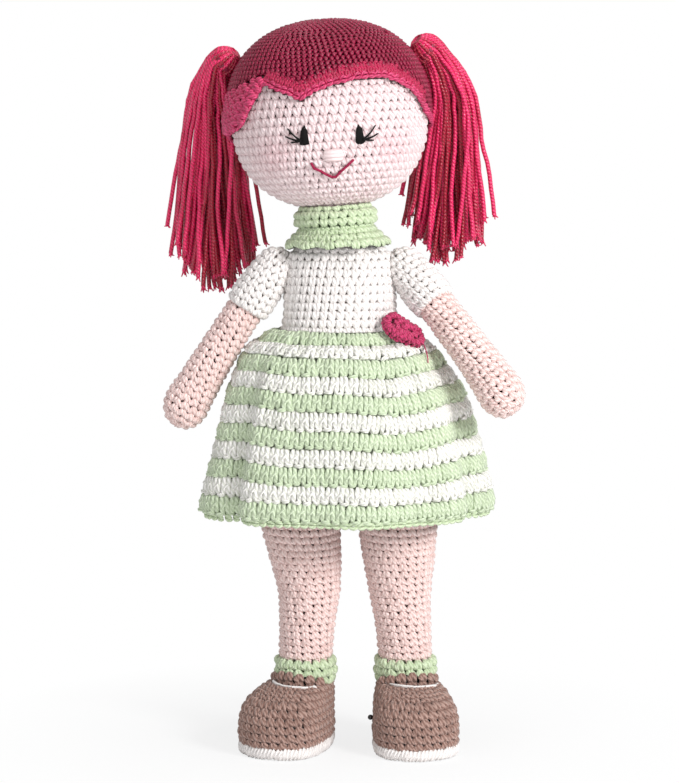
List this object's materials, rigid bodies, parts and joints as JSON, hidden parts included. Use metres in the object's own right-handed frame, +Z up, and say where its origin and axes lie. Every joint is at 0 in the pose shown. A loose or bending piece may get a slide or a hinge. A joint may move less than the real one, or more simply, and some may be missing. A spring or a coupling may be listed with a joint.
{
  "type": "stuffed doll",
  "caption": "Standing crocheted stuffed doll with yarn pigtails, a striped bell skirt, a frilled collar and chunky shoes; head, pigtails, arms and legs move.",
  "frame": {"origin": "centre of the footprint of the whole doll on the floor", "axes": "+Z up, the doll faces -Y, +X is the viewer's right"},
  "size_m": [0.2038, 0.1258, 0.4108],
  "materials": {
    "bodice_yarn": "matt crocheted cotton yarn, white",
    "filling": "loose polyester fibre filling",
    "thread_white": "doubled sewing thread",
    "dowel_wood": "plain sanded wood",
    "skin_yarn": "matt crocheted cotton yarn, pale pink",
    "limb_yarn": "matt crocheted cotton yarn, pale pink",
    "mint_yarn": "matt crocheted cotton yarn, mint",
    "skirt_yarn": "matt crocheted cotton yarn, mint and white stripes",
    "rose_yarn": "matt crocheted cotton yarn, rose red",
    "cap_yarn": "fine crocheted yarn, dark magenta with a slight sheen",
    "hair_yarn": "twisted yarn, bright magenta red with a slight sheen",
    "black_thread": "embroidery thread, black",
    "mouth_thread": "embroidery thread, magenta",
    "shoe_yarn": "matt crocheted cotton yarn, taupe brown",
    "insole_plastic": "thin stiff sheet",
    "bead_plastic": "small black bead"
  },
  "bodies": {
    "torso": {"torso_cover": "bodice_yarn", "torso_stuffing": "filling", "hip_thread": "thread_white", "shoulder_thread_left": "thread_white", "shoulder_thread_right": "thread_white", "neck_dowel": "dowel_wood", "neck_cover": "skin_yarn", "collar_roll": "mint_yarn", "collar_frill": "mint_yarn", "skirt": "skirt_yarn", "skirt_hem": "mint_yarn", "rose": "rose_yarn"},
    "head": {"head_cover": "skin_yarn", "head_stuffing": "filling", "hair_cap": "cap_yarn", "eye_left": "black_thread", "eye_right": "black_thread", "mouth_stitch": "mouth_thread", "nose": "skin_yarn"},
    "pigtail_swing_left": {"pigtail_left": "hair_yarn", "pigtail_tie_left": "cap_yarn"},
    "pigtail_swing_right": {"pigtail_right": "hair_yarn", "pigtail_tie_right": "cap_yarn"},
    "arm_left": {"sleeve_left": "bodice_yarn", "arm_cover_left": "limb_yarn", "arm_stuffing_left": "filling"},
    "arm_right": {"sleeve_right": "bodice_yarn", "arm_cover_right": "limb_yarn", "arm_stuffing_right": "filling"},
    "leg_left": {"leg_cover_left": "limb_yarn", "leg_stuffing_left": "filling", "sock_left": "mint_yarn", "insole_left": "insole_plastic", "shoe_upper_left": "shoe_yarn", "sole_left": "bodice_yarn", "tongue_left": "shoe_yarn", "shoe_edging_left": "bodice_yarn"},
    "leg_right": {"leg_cover_right": "limb_yarn", "leg_stuffing_right": "filling", "sock_right": "mint_yarn", "insole_right": "insole_plastic", "shoe_upper_right": "shoe_yarn", "sole_right": "bodice_yarn", "tongue_right": "shoe_yarn", "shoe_edging_right": "bodice_yarn", "shoe_bead": "bead_plastic"}
  },
  "joints": [
    {"name": "neck_turn", "type": "hinge", "parent": "torso", "child": "head", "pos_m": [-0.0011, 0, 0.284], "axis": [-0.0628, 0, 0.998], "range_deg": [-12, 12]},
    {"name": "pigtail_left_swing", "type": "hinge", "parent": "head", "child": "pigtail_swing_left", "pos_m": [-0.06381, 0.008, 0.38796], "axis": [0, 1, 0], "range_deg": [0, 60]},
    {"name": "pigtail_right_swing", "type": "hinge", "parent": "head", "child": "pigtail_swing_right", "pos_m": [0.04809, 0.008, 0.395], "axis": [0, -1, 0], "range_deg": [0, 60]},
    {"name": "arm_left_swing", "type": "hinge", "parent": "torso", "child": "arm_left", "pos_m": [-0.0365, 0, 0.273], "axis": [-1, 0, 0], "range_deg": [-15, 90]},
    {"name": "arm_right_swing", "type": "hinge", "parent": "torso", "child": "arm_right", "pos_m": [0.037, 0, 0.273], "axis": [-1, 0, 0], "range_deg": [-40, 62]},
    {"name": "leg_left_swing", "type": "hinge", "parent": "torso", "child": "leg_left", "pos_m": [-0.0215, 0, 0.196], "axis": [-1, 0, 0], "range_deg": [-21, 21]},
    {"name": "leg_right_swing", "type": "hinge", "parent": "torso", "child": "leg_right", "pos_m": [0.026, 0, 0.196], "axis": [-1, 0, 0], "range_deg": [-21, 21]}
  ]
}
